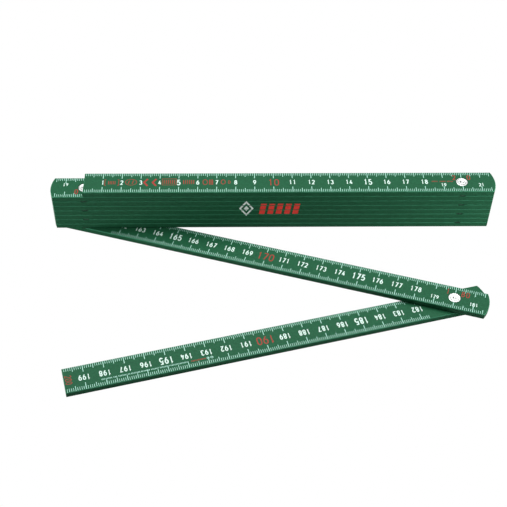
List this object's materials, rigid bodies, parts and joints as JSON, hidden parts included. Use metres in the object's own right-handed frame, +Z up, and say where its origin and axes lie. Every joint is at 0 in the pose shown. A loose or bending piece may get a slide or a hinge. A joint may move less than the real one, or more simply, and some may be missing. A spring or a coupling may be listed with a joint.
{
  "type": "folding rule",
  "caption": "Folding rule with flat plastic leaves in a zigzag stack, joined end to end by riveted spring hinges; two leaves swung open.",
  "frame": {"origin": "on the surface the rule rests on, under the middle of its outline at rest", "axes": "+X along the stacked leaves, from the zero end to the first hinge; +Y away from the opened leaves; +Z up, along every hinge axis"},
  "size_m": [0.2356, 0.1268, 0.0325],
  "materials": {
    "green_plastic": "satin moulded glass-fibre reinforced plastic",
    "rivet_metal": "bright nickel plated steel",
    "spring_steel": "hardened spring steel, oiled",
    "white_ink": "printed ink of the scale's ticks and numbers, on the visual model only",
    "red_ink": "printed ink of the tens and of the plain marks, on the visual model only"
  },
  "bodies": {
    "leaf_01_body": {"leaf_01": "green_plastic", "rivet_1": "rivet_metal", "spring_disc_1": "spring_steel", "washer_1": "rivet_metal"},
    "leaf_02_body": {"leaf_02": "green_plastic", "rivet_2": "rivet_metal", "spring_disc_2": "spring_steel", "washer_2": "rivet_metal", "detent_disc_1": "spring_steel"},
    "leaf_03_body": {"leaf_03": "green_plastic", "rivet_3": "rivet_metal", "spring_disc_3": "spring_steel", "washer_3": "rivet_metal", "detent_disc_2": "spring_steel"},
    "leaf_04_body": {"leaf_04": "green_plastic", "rivet_4": "rivet_metal", "spring_disc_4": "spring_steel", "washer_4": "rivet_metal", "detent_disc_3": "spring_steel"},
    "leaf_05_body": {"leaf_05": "green_plastic", "rivet_5": "rivet_metal", "spring_disc_5": "spring_steel", "washer_5": "rivet_metal", "detent_disc_4": "spring_steel"},
    "leaf_06_body": {"leaf_06": "green_plastic", "rivet_6": "rivet_metal", "spring_disc_6": "spring_steel", "washer_6": "rivet_metal", "detent_disc_5": "spring_steel"},
    "leaf_07_body": {"leaf_07": "green_plastic", "rivet_7": "rivet_metal", "spring_disc_7": "spring_steel", "washer_7": "rivet_metal", "detent_disc_6": "spring_steel"},
    "leaf_08_body": {"leaf_08": "green_plastic", "rivet_8": "rivet_metal", "spring_disc_8": "spring_steel", "washer_8": "rivet_metal", "detent_disc_7": "spring_steel"},
    "leaf_09_body": {"leaf_09": "green_plastic", "rivet_9": "rivet_metal", "spring_disc_9": "spring_steel", "washer_9": "rivet_metal", "detent_disc_8": "spring_steel"},
    "leaf_10_body": {"leaf_10": "green_plastic", "detent_disc_9": "spring_steel"}
  },
  "joints": [
    {"name": "hinge_1", "type": "hinge", "parent": "leaf_01_body", "child": "leaf_02_body", "pos_m": [0.1, 0.05153, 0.02923], "axis": [0, 0, 1], "range_deg": [0, 180]},
    {"name": "hinge_2", "type": "hinge", "parent": "leaf_02_body", "child": "leaf_03_body", "pos_m": [-0.1, 0.05153, 0.02598], "axis": [0, 0, -1], "range_deg": [0, 180]},
    {"name": "hinge_3", "type": "hinge", "parent": "leaf_03_body", "child": "leaf_04_body", "pos_m": [0.1, 0.05153, 0.02272], "axis": [0, 0, 1], "range_deg": [0, 180]},
    {"name": "hinge_4", "type": "hinge", "parent": "leaf_04_body", "child": "leaf_05_body", "pos_m": [-0.1, 0.05153, 0.01947], "axis": [0, 0, -1], "range_deg": [0, 180]},
    {"name": "hinge_5", "type": "hinge", "parent": "leaf_05_body", "child": "leaf_06_body", "pos_m": [0.1, 0.05153, 0.01622], "axis": [0, 0, 1], "range_deg": [0, 180]},
    {"name": "hinge_6", "type": "hinge", "parent": "leaf_06_body", "child": "leaf_07_body", "pos_m": [-0.1, 0.05153, 0.01298], "axis": [0, 0, -1], "range_deg": [0, 180]},
    {"name": "hinge_7", "type": "hinge", "parent": "leaf_07_body", "child": "leaf_08_body", "pos_m": [0.1, 0.05153, 0.00972], "axis": [0, 0, 1], "range_deg": [0, 180]},
    {"name": "hinge_8", "type": "hinge", "parent": "leaf_08_body", "child": "leaf_09_body", "pos_m": [-0.1, 0.05153, 0.00647], "axis": [0, 0, -1], "range_deg": [-17.1, 162.9]},
    {"name": "hinge_9", "type": "hinge", "parent": "leaf_09_body", "child": "leaf_10_body", "pos_m": [0.09116, -0.00728, 0.00323], "axis": [0, 0, 1], "range_deg": [-31.25, 148.75]}
  ]
}
